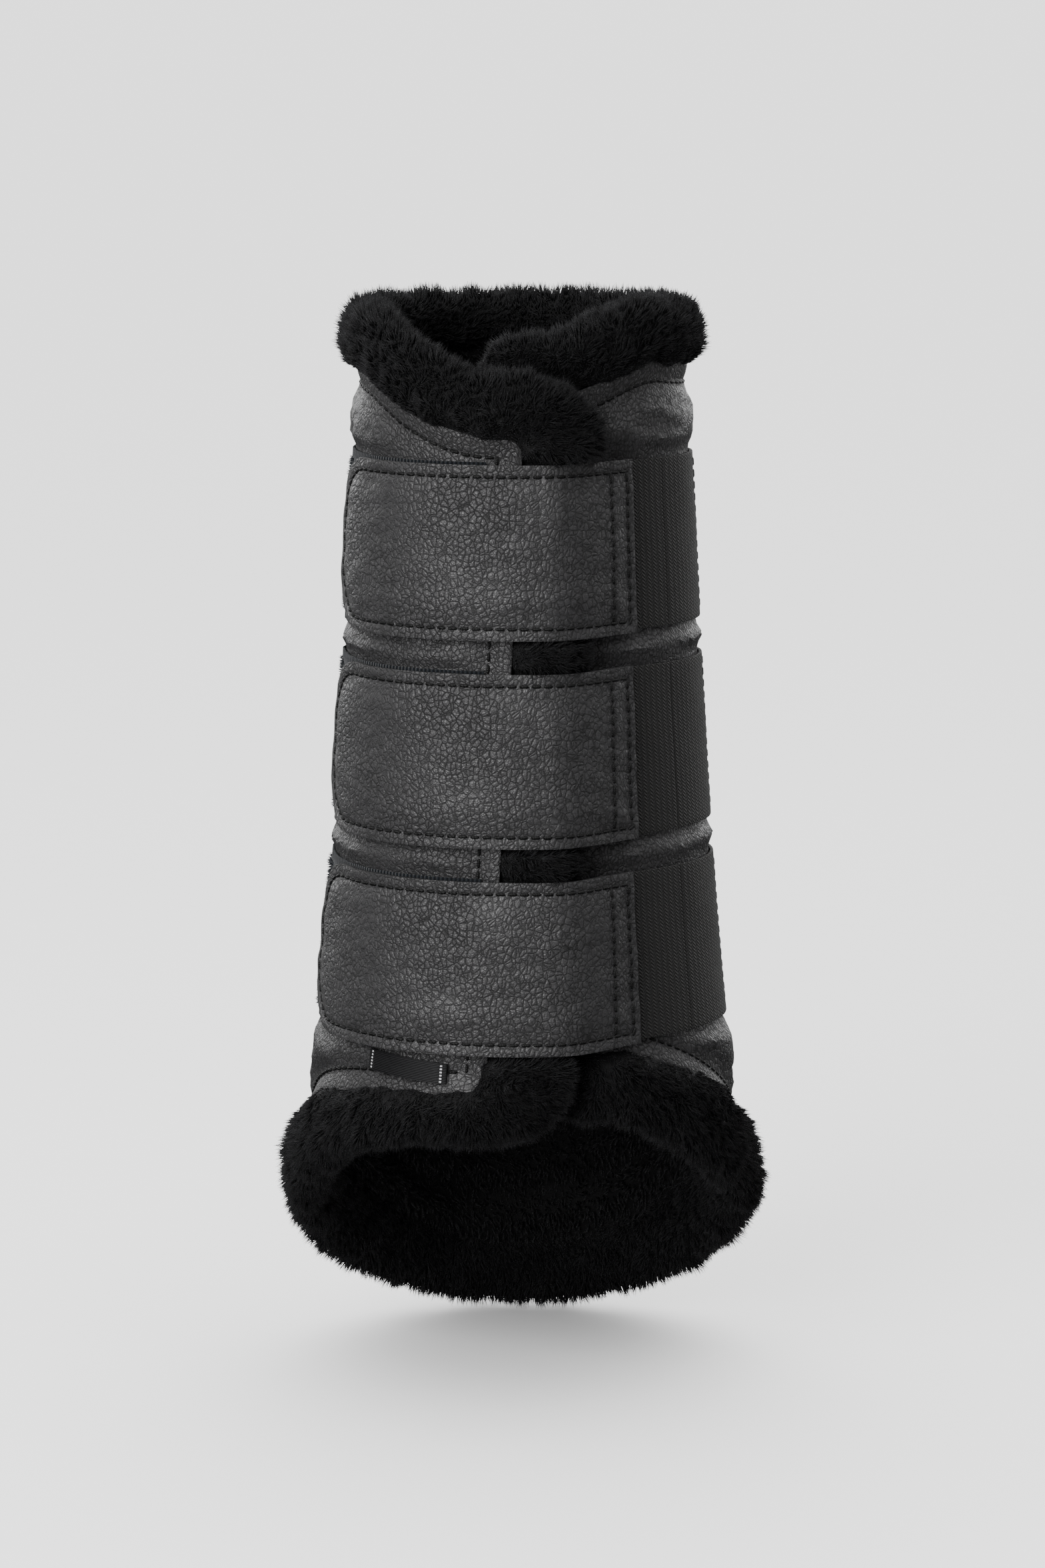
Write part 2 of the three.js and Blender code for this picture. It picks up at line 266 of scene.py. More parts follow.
def under_left_flap(turn, height):
    """1 where the left flap with its rolls lies over the right one, falling to 0 a little beyond it."""
    edge = free_edge("left", share(height, EDGE_FRONT, TOP_EDGE))
    across = np.maximum(0, turn - edge) / degrees(ROLL_SIDE["left"], height)
    above = np.maximum(0, height - top_of(turn, "left")) / ROLL_TOP
    below = np.maximum(0, bottom_of(turn, "left") - height) / ROLL_FRONT["left"]
    return ease(share(np.hypot(across, np.maximum(above, below)), 1.35, 1.0))


def corner_cut(distance, radius):
    past = np.clip(radius - distance, 0, radius)
    return radius - np.sqrt(radius**2 - past**2)


# ---- Making meshes ----
CREASE = math.radians(50)  # edges that turn by more than this are sharp


def lengths_of(vectors):
    return np.linalg.norm(vectors, axis=1)[:, None]


def dots_of(vectors, others):
    return np.einsum("ij,ij->i", vectors, others)


def ripple(points, wavelength, seed):
    """A smooth random height between about -1 and 1 at each point."""
    dice = np.random.default_rng(seed)
    waves = dice.normal(size=(14, 3))
    rate = dice.uniform(0.7, 1.6, (14, 1)) * 2 * math.pi / wavelength
    waves *= rate / lengths_of(waves)
    return np.sin(points @ waves.T + dice.uniform(0, 2 * math.pi, 14)).sum(axis=1) / 4


def only(piece):
    """Makes a piece the one that operators work on."""
    bpy.ops.object.select_all(action="DESELECT")
    piece.select_set(True)
    bpy.context.view_layer.objects.active = piece


def points_of(piece):
    points = np.empty(len(piece.data.vertices) * 3)
    piece.data.vertices.foreach_get("co", points)
    return points.reshape(-1, 3)


def move_to(piece, points):
    piece.data.vertices.foreach_set("co", points.ravel())
    piece.data.update()


def flat_grid(name, columns, rows):
    """A grid over the square from (0, 0) to (1, 1)."""
    bpy.ops.object.select_all(action="DESELECT")
    bpy.ops.mesh.primitive_grid_add(
        x_subdivisions=columns, y_subdivisions=rows, size=1, location=(0.5, 0.5, 0), calc_uvs=True
    )
    bpy.ops.object.transform_apply(location=True, rotation=True, scale=True)
    piece = bpy.context.object
    piece.name = name
    piece.data.name = name
    return piece


def lay(piece, where, size, start=0):
    """Lays a flat grid on the boot, and keeps its flat size as its UV map, in metres."""
    flat = points_of(piece)
    move_to(piece, where(flat[:, 0], flat[:, 1]))
    layer = piece.data.uv_layers.active.data
    uv = np.empty(len(layer) * 2)
    layer.foreach_get("uv", uv)
    layer.foreach_set("uv", (uv.reshape(-1, 2) * np.array(size) + [start, 0]).ravel())
    return piece


def modify(piece, kind, **settings):
    only(piece)
    bpy.ops.object.modifier_add(type=kind)
    modifier = piece.modifiers[-1]
    for key, value in settings.items():
        setattr(modifier, key, value)
    bpy.ops.object.modifier_apply(modifier=modifier.name)


def thicken(piece, thickness, rounding=0.0):
    """Gives a sheet a thickness on its inner side, and rounds its rim."""
    modify(piece, "SOLIDIFY", thickness=thickness, offset=-1, use_rim=True, use_even_offset=False)
    if rounding:
        modify(piece, "BEVEL", width=rounding, segments=2, limit_method="ANGLE", angle_limit=CREASE)
    only(piece)
    bpy.ops.object.shade_smooth_by_angle(angle=math.radians(40))


def tube(name, columns, rows, where):
    """A closed tube: where(a, b) has a along it and b round it, both from 0 to 1."""
    piece = flat_grid(name, columns, rows)
    lay(piece, where, (1, 1))
    only(piece)
    bpy.ops.object.mode_set(mode="EDIT")
    bpy.ops.mesh.select_all(action="SELECT")
    bpy.ops.mesh.remove_doubles(threshold=0.02 * MM)
    bpy.ops.mesh.select_all(action="DESELECT")
    bpy.ops.mesh.select_non_manifold()
    bpy.ops.mesh.edge_face_add()
    bpy.ops.mesh.select_all(action="SELECT")
    bpy.ops.mesh.normals_make_consistent(inside=False)
    bpy.ops.object.mode_set(mode="OBJECT")
    bpy.ops.object.shade_smooth()
    return piece


def mesh_of(name, points, faces):
    """A mesh from arrays of points and of triangles."""
    mesh = bpy.data.meshes.new(name)
    mesh.vertices.add(len(points))
    mesh.vertices.foreach_set("co", np.asarray(points, np.float32).ravel())
    mesh.loops.add(faces.size)
    mesh.loops.foreach_set("vertex_index", faces.ravel().astype(np.int32))
    mesh.polygons.add(len(faces))
    mesh.polygons.foreach_set("loop_start", np.arange(0, faces.size, 3, dtype=np.int32))
    mesh.polygons.foreach_set("use_smooth", np.ones(len(faces), bool))
    mesh.update(calc_edges=True)
    piece = bpy.data.objects.new(name, mesh)
    bpy.context.collection.objects.link(piece)
    return piece


def paint(piece, name, values):
    """Keeps a number at each point as an attribute."""
    attribute = piece.data.attributes.new(name, "FLOAT", "POINT")
    attribute.data.foreach_set("value", np.full(len(piece.data.vertices), values, np.float32))


def join(piece, *others):
    only(piece)
    for other in others:
        other.select_set(True)
    bpy.ops.object.join()
    return piece


# ---- Pile: tufts that stand on a surface ----
def scatter(surface, cells, pitch, dice):
    """Places (a, b) spread evenly over surface(a, b), one for each pitch squared."""
    columns, rows = cells
    a, b = np.meshgrid(np.arange(columns) / columns, np.arange(rows) / rows, indexing="ij")
    a, b = a.ravel(), b.ravel()
    corner = surface(a, b)
    along = surface(a + 1 / columns, b) - corner
    across = surface(a, b + 1 / rows) - corner
    area = np.linalg.norm(np.cross(along, across), axis=1)
    count = np.floor(area / pitch**2 + dice.random(len(area))).astype(int)
    chosen = np.repeat(np.arange(len(area)), count)
    return a[chosen] + dice.random(len(chosen)) / columns, b[chosen] + dice.random(len(chosen)) / rows


def pile(surface, core, cells, pitch, reach, width, comb, seed):
    """Tufts on a surface. reach gives their lengths. comb gives the way that they are brushed, how strongly,
    and how far they are kept from leaning the other way. core is a point behind the surface at each place."""
    dice = np.random.default_rng(seed)
    a, b = scatter(surface, cells, pitch, dice)
    step = 1e-3
    root = surface(a, b)
    normal = np.cross(surface(a + step, b) - root, surface(a, b + step) - root)
    normal /= lengths_of(normal) + 1e-12
    normal *= np.sign(dots_of(normal, root - core(a, b)))[:, None]
    whorl = np.stack([ripple(root, 9 * MM, seed + k) for k in (1, 2, 3)], axis=1)
    clump = np.stack([ripple(root, 3.5 * MM, seed + k) for k in (4, 5, 6)], axis=1)
    brushed, strength, hold = comb(a, b)
    way = normal + strength * brushed + 0.4 * whorl + 0.42 * clump
    way = way + dice.normal(scale=0.16, size=root.shape)
    back = np.minimum(0, dots_of(way, brushed))
    way -= (back * hold)[:, None] * brushed
    way /= lengths_of(way)
    way += normal * ((1 - hold) * np.maximum(0, 0.25 - dots_of(way, normal)))[:, None]
    long = reach(a, b, root) * dice.uniform(0.75, 1.1, len(root))
    long = long * (1 + 0.18 * ripple(root, 5 * MM, seed + 7))
    side = np.cross(way, dice.normal(size=root.shape))
    side /= lengths_of(side)
    third = np.cross(way, side)
    sunk = root - 0.2 * MM * normal
    half = (width * dice.uniform(0.7, 1.2, len(root)))[:, None] / 2
    thirds = (0, 2 * math.pi / 3, 4 * math.pi / 3)
    corners = [sunk + half * (math.cos(t) * side + math.sin(t) * third) for t in thirds]
    tip = root + way * long[:, None]
    points = np.stack([*corners, tip], axis=1).reshape(-1, 3)
    first = 4 * np.arange(len(root))[:, None]
    pattern = np.array([[0, 1, 3], [1, 2, 3], [2, 0, 3], [0, 2, 1]])
    faces = (first[:, None, :] + pattern[None, :, :]).reshape(-1, 3)
    tufts = mesh_of("tufts", points, faces)
    # Painted shade: the three root corners get a low 'tip' number, so the material colours them darker than
    # the tip.
    paint(tufts, "tip", np.tile([0.15, 0.15, 0.15, 1.0], len(root)))
    paint(tufts, "tone", np.repeat(dice.random(len(root)), 4))
    return tufts


# ---- Materials ----
class Nodes:
    """A material's nodes, added one after another."""

    def __init__(self, name):
        self.material = bpy.data.materials.new(name)
        self.material.use_nodes = True
        self.tree = self.material.node_tree
        self.shader = self.tree.nodes["Principled BSDF"]

    def add(self, kind, inputs=None, **settings):
        node = self.tree.nodes.new("ShaderNode" + kind)
        for key, value in settings.items():
            setattr(node, key, value)
        for key, value in (inputs or {}).items():
            self.feed(node.inputs[key], value)
        return node

    def feed(self, socket, value):
        if isinstance(value, bpy.types.NodeSocket):
            self.tree.links.new(value, socket)
        else:
            socket.default_value = value

    def math(self, operation, *values):
        node = self.add("Math", operation=operation)
        for socket, value in zip(node.inputs, values):
            self.feed(socket, value)
        return node.outputs[0]

    def coordinates(self, kind):
        return self.add("TexCoord").outputs[kind]

    def noise(self, at, scale, detail):
        return self.add("TexNoise", {"Vector": at, "Scale": scale, "Detail": detail}).outputs["Fac"]

    def wave(self, value, period):
        """Runs smoothly between 0 and 1, once in each period."""
        turned = self.math("MULTIPLY", value, 2 * math.pi / period)
        return self.math("MULTIPLY_ADD", self.math("SINE", turned), 0.5, 0.5)

    def painted(self, name):
        return self.add("Attribute", attribute_name=name).outputs["Fac"]

    def ramp(self, value, low, high, start=0.0, end=1.0):
        node = self.add(
            "MapRange", {"Value": value, "From Min": low, "From Max": high, "To Min": start, "To Max": end}
        )
        return node.outputs["Result"]

    def mix(self, factor, a, b):
        node = self.add("Mix", data_type="RGBA")
        self.feed(node.inputs["Factor"], factor)
        for socket, value in ((node.inputs[6], a), (node.inputs[7], b)):
            self.feed(socket, value if isinstance(value, bpy.types.NodeSocket) else (*value, 1))
        return node.outputs[2]

    def bump(self, height, distance, below=None, strength=1.0):
        inputs = {"Height": height, "Distance": distance, "Strength": strength}
        if below is not None:
            inputs["Normal"] = below
        return self.add("Bump", inputs).outputs["Normal"]

    def set(self, **sockets):
        names = {
            "color": "Base Color",
            "roughness": "Roughness",
            "normal": "Normal",
            "sheen": "Sheen Weight",
            "sheen_roughness": "Sheen Roughness",
            "sheen_tint": "Sheen Tint",
            "specular": "Specular IOR Level",
        }
        for key, value in sockets.items():
            if key == "color" and not isinstance(value, bpy.types.NodeSocket):
                value = (*value, 1)
            if key == "sheen_tint":
                value = (*value, 1)
            self.feed(self.shader.inputs[names[key]], value)
        return self.material


def tinted(base, factor):
    return tuple(min(1, c * factor) for c in base)


def leather_material():
    """Pebbled grain: rounded, uneven cells with fine creases between them, painted dark as shade, which fade
    in patches.
    """
    n = Nodes("pebbled_leather")
    pebble = sizes().pebble
    base = colours().leather
    uv = n.coordinates("UV")
    warp = n.add("TexNoise", {"Vector": uv, "Scale": 330, "Detail": 2}).outputs["Color"]
    bent = n.add("VectorMath", {0: warp, 1: (0.0011, 0.0011, 0)}, operation="MULTIPLY").outputs[0]
    at = n.add("VectorMath", {0: uv, 1: bent}, operation="ADD").outputs[0]

    def cells(scale, stretch):
        squeezed = n.add("VectorMath", {0: at, 1: stretch}, operation="MULTIPLY").outputs[0]
        inputs = {"Vector": squeezed, "Scale": scale / pebble, "Randomness": 1}
        return n.add("TexVoronoi", inputs, feature="DISTANCE_TO_EDGE").outputs["Distance"]

    patches = n.noise(uv, 38, 3)
    dust = n.noise(uv, 2600, 2)
    large, small = cells(1.0, (1.1, 0.85, 1)), cells(2.1, (1, 1, 1))
    domes = n.math("POWER", n.ramp(large, 0.0, 0.42), 0.5)
    beads = n.math("POWER", n.ramp(small, 0.0, 0.4), 0.6)
    relief = n.math("ADD", n.math("MULTIPLY", domes, 0.75), n.math("MULTIPLY", beads, 0.25))
    depth = n.ramp(patches, 0.3, 0.6, 0.55, 1.0)
    crease_shade = n.math("MULTIPLY", n.ramp(large, 0.0, 0.16), n.ramp(small, 0.0, 0.16, 0.45, 1.0))
    shaded_creases = n.math("SUBTRACT", 1.0, n.math("MULTIPLY", n.math("SUBTRACT", 1.0, crease_shade), depth))
    worn = n.mix(n.ramp(patches, 0.35, 0.7), base, tinted(base, 1.3))
    # Painted shade: the creases are coloured at a tenth of the leather's colour, and the leather is rougher
    # there.
    color = n.mix(shaded_creases, tinted(base, 0.1), worn)
    rough = n.math("ADD", n.ramp(shaded_creases, 0, 1, 0.35, 0.0), n.ramp(patches, 0.3, 0.7, 0.33, 0.41))
    normal = n.bump(dust, 0.00003)
    normal = n.bump(n.math("MULTIPLY", relief, depth), 0.0004, normal)
    return n.set(color=color, roughness=rough, normal=normal, specular=0.36)


def plush_material():
    """Deep pile: roots, and the skin under them, painted dark as the shade deep in the pile, greyer tips, and
    a soft sheen.
    """
    n = Nodes("deep_plush")
    base = colours().plush
    tip = n.painted("tip")
    tone = n.painted("tone")
    at = n.coordinates("Object")
    patches = n.noise(at, 90, 3)
    hair = n.noise(at, 1900, 2)
    tips = n.mix(n.ramp(tone, 0.2, 1.0), tinted(base, 1.6), tinted(base, 3.2))
    # Painted shade: the 'tip' number is low at the roots and on the skin below the tufts, so these take the
    # darkest colour.
    color = n.mix(n.math("MULTIPLY", tip, n.ramp(patches, 0.3, 0.65, 0.35, 1.0)), tinted(base, 0.35), tips)
    return n.set(
        color=color,
        roughness=n.ramp(patches, 0.3, 0.7, 0.62, 0.75),
        normal=n.bump(hair, 0.0004),
        specular=0.14,
        sheen=0.035,
        sheen_roughness=0.35,
        sheen_tint=(0.8, 0.82, 0.86),
    )


def elastic_material():
    """Woven webbing: columns of slanting yarns that change way from one column to the next."""
    n = Nodes("woven_elastic")
    base = colours().elastic
    uv = n.add("SeparateXYZ", {0: n.coordinates("UV")})
    column = n.math("DIVIDE", uv.outputs["X"], 1.3 * MM)
    zigzag = n.math("PINGPONG", column, 1.0)
    yarn = n.math("ADD", n.math("DIVIDE", uv.outputs["Y"], 1.05 * MM), n.math("MULTIPLY", zigzag, 0.9))
    weave, rib = n.wave(yarn, 1), n.wave(column, 2)
    height = n.math("MULTIPLY", weave, n.ramp(rib, 0, 1, 0.55, 1))
    lint = n.noise(n.coordinates("UV"), 1500, 2)
    # Painted shade: the weave's hollows are coloured down to a third of the webbing's colour; the lint noise
    # over it is a random lighter fibre.
    color = n.mix(height, tinted(base, 0.35), n.mix(n.ramp(lint, 0.35, 0.7), base, tinted(base, 2.1)))
    return n.set(
        color=color,
        roughness=n.ramp(height, 0, 1, 0.85, 0.62),
        normal=n.bump(height, 0.00035, n.bump(lint, 0.00008)),
        specular=0.18,
        sheen=0.04,
        sheen_roughness=0.5,
    )


def loop_material():
    """Brushed loop pile, with a ribbed woven border along its top and bottom."""
    n = Nodes("brushed_loop")
    base = colours().loop
    coordinates = n.coordinates("UV")
    uv = n.add("SeparateXYZ", {0: coordinates})
    tone = n.painted("tone")
    fuzz = n.noise(coordinates, 1300, 4)
    rib = n.wave(uv.outputs["X"], 1.2 * MM)
    border = n.painted("border")
    inside = n.math("MULTIPLY", n.math("SUBTRACT", 1.0, border), fuzz)
    height = n.math("ADD", n.math("MULTIPLY", border, rib), inside)
    lit = n.math("ADD", n.math("MULTIPLY", height, 0.7), n.math("MULTIPLY", tone, 0.5))
    color = n.mix(lit, tinted(base, 0.3), tinted(base, 1.9))
    return n.set(
        color=color,
        roughness=0.9,
        normal=n.bump(height, 0.0005),
        specular=0.1,
        sheen=0.06,
        sheen_roughness=0.5,
    )


def thread_material():
    n = Nodes("waxed_thread")
    base = colours().thread
    inputs = {"Vector": n.coordinates("Object"), "Scale": 900, "Distortion": 2}
    twist = n.add("TexWave", inputs, bands_direction="DIAGONAL").outputs["Fac"]
    # Painted shade and light: the grooves of the twist are coloured darker and its ridges lighter.
    color = n.mix(twist, tinted(base, 0.5), tinted(base, 2.4))
    return n.set(color=color, roughness=0.55, normal=n.bump(twist, 0.0001), specular=0.2)


def label_material():
    """Satin ribbon: fine ribs across, with a soft shine."""
    n = Nodes("satin_ribbon")
    base = colours().label
    coordinates = n.coordinates("UV")
    uv = n.add("SeparateXYZ", {0: coordinates})
    rib = n.wave(uv.outputs["Y"], 0.35 * MM)
    lint = n.noise(coordinates, 900, 2)
    # Painted shade: the hollows between the ribs are coloured darker; the lint noise makes the ribs lighter
    # at random.
    color = n.mix(n.math("MULTIPLY", rib, lint), tinted(base, 0.6), tinted(base, 1.8))
    rough = n.ramp(lint, 0.3, 0.7, 0.4, 0.5)
    return n.set(color=color, roughness=rough, normal=n.bump(rib, 0.00008), specular=0.15)


def dash_material():
    n = Nodes("pale_dash")
    at = n.coordinates("Object")
    lint = n.noise(at, 1500, 2)
    color = n.mix(lint, (0.16, 0.16, 0.17), (0.45, 0.45, 0.46))
    return n.set(color=color, roughness=0.7, normal=n.bump(lint, 0.0001))


def hook_material():
    """Rows of tiny stiff hooks."""
    n = Nodes("stiff_hooks")
    inputs = {"Vector": n.coordinates("UV"), "Scale": 1 / (0.9 * MM), "Randomness": 0.25}
    rows = n.add("TexVoronoi", inputs).outputs["Distance"]
    hooks = n.ramp(rows, 0.15, 0.45, 1, 0)
    # Painted shade: the gaps between the hooks are coloured near black, the hooks lighter.
    color = n.mix(hooks, (0.002, 0.002, 0.002), (0.02, 0.02, 0.022))
    return n.set(color=color, roughness=0.5, normal=n.bump(hooks, 0.0007), specular=0.4)


def guard_material():
    n = Nodes("moulded_guard")
    at = n.coordinates("Object")
    mottle = n.noise(at, 500, 3)
    color = n.mix(mottle, (0.012, 0.012, 0.013), (0.03, 0.03, 0.032))
    return n.set(color=color, roughness=0.5, normal=n.bump(mottle, 0.0002))


made = {}


def finished(piece, maker):
    """Gives a piece its material, made once."""
    if maker not in made:
        made[maker] = maker()
    piece.data.materials.clear()
    piece.data.materials.append(made[maker])
    return piece


# ---- Where flaps and straps bend ----
def joint(name):
    return next(j for j in frame["joints"] if j["name"] == name)


def fold(piece, side, start, end):
    """Looks up a flap's hinge, and only bakes the piece's placement into its points, without bending it. The
    distances start and end are not used.
    """
    hinge = joint(side + "_flap_open")
    axis = np.array(hinge["axis"]) / np.linalg.norm(hinge["axis"])
    pivot = np.array(hinge["pos_m"])
    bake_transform(piece)


FOLD_START = {"left": -17 * MM, "right": -10 * MM}
FOLD_END = {"left": 2 * MM, "right": 10 * MM}


def fold_with_flap(piece, side):
    fold(piece, side, FOLD_START[side], FOLD_END[side])


# ---- Shell ----
def shell_turn(side, u, v):
    """Turns of one half of the shell, from the centre back to the flap's free edge."""
    t = u if side == "left" else 1 - u
    return between(180 * SIGN[side], free_edge(side, v), t)


def shell_point(side, u, v, raised=0.0):
    turn = shell_turn(side, u, v)
    free = np.abs(turn - free_edge(side, v)) * math.pi / 180 * profile(between(0.1, TOP_EDGE, v))
    cut = corner_cut(free, CORNER)
    low, high = bottom_of(turn, side) + cut, top_of(turn, side) - cut
    height = between(low, high, v)
    s = sizes()
    edge = np.minimum(np.minimum(height - low, high - height), free)
    under_flap = under_left_flap(turn, height) if side == "right" else 0 * turn
    strapped = under_strap(height, 6 * MM) * ease(share(np.abs(turn), 128, ELASTIC_ROOT))
    covered = np.maximum(strapped, under_flap)
    seam = np.exp(-(((edge - s.lip) / (1.1 * MM)) ** 2))
    offset = s.bulge * (1 - covered) * ease(share(edge, s.lip, s.lip + 9 * MM))
    offset = offset + 1.1 * MM * (1 - under_flap) * ease(share(edge, s.lip, 0)) - 0.6 * MM * seam
    flat = np.stack([turn * 0.9 * MM, height * 2.2, 0 * turn], axis=1)
    folds = ripple(flat, 22 * MM, 5) * 0.45 + ripple(flat * [1, 1.6, 1], 9 * MM, 6) * 0.22
    offset = offset + folds * MM * (1 - covered) * ease(share(edge, s.lip, s.lip + 5 * MM))
    return place(turn, height, offset + raised, side_lap(side))


def make_shell(side):
    shell = flat_grid("shell_" + side, 110, 120)
    lay(shell, lambda u, v: shell_point(side, u, v), (180 * MM, 240 * MM))
    thicken(shell, sizes().leather, 0.3 * MM)
    finished(shell, leather_material)
    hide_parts("leather_" + side, "leather_back")
    fold_with_flap(shell, side)


# ---- Stitching ----
def one_stitch():
    """A short thread, pinched at its ends, lying along X."""
    s = sizes()
    bpy.ops.object.select_all(action="DESELECT")
    bpy.ops.mesh.primitive_uv_sphere_add(segments=8, ring_count=5, radius=0.5, rotation=(0, math.pi / 2, 0))
    bpy.ops.object.transform_apply(location=True, rotation=True, scale=True)
    stitch = bpy.context.object
    points = points_of(stitch)
    full = np.abs(points[:, 0] * 2) ** 0.45 * np.sign(points[:, 0]) / 2
    points[:, 0] = full * s.stitch_length
    points[:, 1:] *= s.thread
    return stitch, points


def stitched(name, line, normals):
    """Stitches along a line of points, each sunk a little into the leather."""
    s = sizes()
    run = np.concatenate([[0], np.cumsum(lengths_of(np.diff(line, axis=0)))])
    count = max(1, round(run[-1] / s.stitch_pitch))
    middles = (np.arange(count) + 0.5) * run[-1] / count

    def along(values, shift=0.0):
        return np.stack([np.interp(middles + shift, run, values[:, k]) for k in range(3)], axis=1)

    at, up = along(line), along(normals)
    way = along(line, 0.5 * MM) - along(line, -0.5 * MM)
    way /= lengths_of(way)
    up -= way * dots_of(up, way)[:, None]
    up /= lengths_of(up)
    side = np.cross(up, way)
    stitch, shape = one_stitch()
    faces = [list(f.vertices) for f in stitch.data.polygons]
    bpy.ops.object.delete()
    points = (
        at[:, None, :]
        + shape[None, :, 0:1] * way[:, None, :]
        + shape[None, :, 1:2] * side[:, None, :]
        + shape[None, :, 2:3] * up[:, None, :]
    ).reshape(-1, 3)
    mesh = bpy.data.meshes.new(name)
    every = [[i + k * len(shape) for i in face] for k in range(count) for face in faces]
    mesh.from_pydata(points.tolist(), [], every)
    mesh.shade_smooth()
    piece = bpy.data.objects.new(name, mesh)
    bpy.context.collection.objects.link(piece)
    return finished(piece, thread_material)


def seam_line(side, part):
    """Points of the seam inside an edge of the shell: its top, its free edge or its bottom."""
    s = sizes()
    count = 160
    t = np.linspace(0.002, 1, count)
    points = []
    lift = (0.45 if (side, part) == ("left", "bottom") else 0.15) * MM
    for raised in (lift, lift + 1 * MM):
        if part == "side":
            v = np.linspace(0.03, 0.97, count)
            turn_share = 1 - s.lip / (profile(EDGE_SIDE + v * 0.2) * math.pi)
            u = turn_share if side == "left" else 1 - turn_share
        else:
            stop = 1 - s.lip / (TOP_RADIUS * math.pi) - 0.002
            u = t * stop if side == "left" else 1 - t * stop
            turn = shell_turn(side, u, 0.5 + 0 * u)
            tall = top_of(turn, side) - bottom_of(turn, side)
            v = 1 - s.lip / tall if part == "top" else s.lip / tall
        points.append(shell_point(side, u, v, raised))
    return points[0], points[1] - points[0]


def make_seams(side):
    for part in ("top", "bottom", "side"):
        if part == "side" and side == "right":
            continue
        seam = stitched(f"seam_{part}_{side}", *seam_line(side, part))
        fold_with_flap(seam, side)


def make_back_seam():
    """A folded strip down the centre of the back, sewn along both sides, over the shell's join."""
    low, high = bottom_of(180.0, "left") + 1 * MM, top_of(180.0, "left") - 1 * MM
    half = 5 * MM

    def where(u, v):
        height = between(low, high, v)
        turn = 180 + degrees((2 * u - 1) * half, height)
        crown = 0.7 * MM * (1 - (2 * u - 1) ** 4) + sizes().bulge + 0.9 * MM
        return place(turn, height, crown, no_lap)

    strip = flat_grid("back_strip", 12, 90)
    lay(strip, where, (2 * half, high - low))
    thicken(strip, 1.2 * MM, 0.3 * MM)
    finished(strip, leather_material)
    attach(strip, "back")
    for name, across in (("left", 0.17), ("right", 0.83)):
        v = np.linspace(0.01, 0.99, 120)
        u = 0 * v + across
        line = where(u, v)
        up = line * [1, 1, 0]
        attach(stitched("back_stitches_" + name, line, up), "back")


def no_lap(turn, height=None):
    return 0 * turn


# ---- Plush ----
def end_stations(side, part):
    """Rows of turn, height, way out and width, from the centre back along an end to the flap's corner."""
    edge = float(free_edge(side, 1 if part == "top" else 0))
    height = TOP_EDGE if part == "top" else EDGE_FRONT
    last = edge + SIGN[side] * degrees(CORNER, height)
    turn = np.linspace(180 * SIGN[side], last, 60)
    edge_of = top_of if part == "top" else bottom_of
    at = edge_of(turn, side)
    rise = (edge_of(turn + 1, side) - edge_of(turn - 1, side)) / 2 * degrees(1, at)
    out = (90 if part == "top" else -90) + np.degrees(np.arctan(rise))
    if part == "top":
        width = 0 * turn + ROLL_TOP
    else:
        width = between(ROLL_FRONT[side], ROLL_BOTTOM, ease(share(np.abs(turn), 30, 80)))
    return np.stack([turn, at, out, width], axis=1)


def corner_stations(side, part, angles):
    end_width = ROLL_TOP if part == "top" else ROLL_FRONT[side]
    edge = float(free_edge(side, 1 if part == "top" else 0))
    inner = end_stations(side, part)[-1]
    height = inner[1] + (-CORNER if part == "top" else CORNER)
    angles = np.asarray(angles, float)
    angle = np.radians(angles)
    turn = edge + SIGN[side] * degrees(CORNER * (1 - np.cos(angle)), height)
    out = angles if side == "left" else 180 - angles
    width = between(ROLL_SIDE[side], end_width, np.sin(angle) ** 2)
    return np.stack([turn, height + CORNER * np.sin(angle), out, width], axis=1)


CORNER_ANGLES = [60, 45, 30, 15]  # of the stations round a free edge's corners


def side_stations(side):
    upper = corner_stations(side, "top", CORNER_ANGLES)
    lower = corner_stations(side, "bottom", [-angle for angle in reversed(CORNER_ANGLES)])
    v = np.linspace(1, 0, 40)
    drop = CORNER * math.sin(math.radians(CORNER_ANGLES[-1]))
    heights = between(lower[0][1] + drop, upper[-1][1] - drop, v)
    out = 0 if side == "left" else 180
    straight = np.stack([free_edge(side, v), heights, 0 * v + out, 0 * v + ROLL_SIDE[side]], axis=1)
    return np.concatenate([upper, straight, lower])


def stations_of(side, part):
    if part == "edge":
        return side_stations(side)
    angles = [80, 70, 60, 50, 40] if part == "top" else [-80, -70, -60, -50, -40]
    return np.concatenate([end_stations(side, part), corner_stations(side, part, angles)])


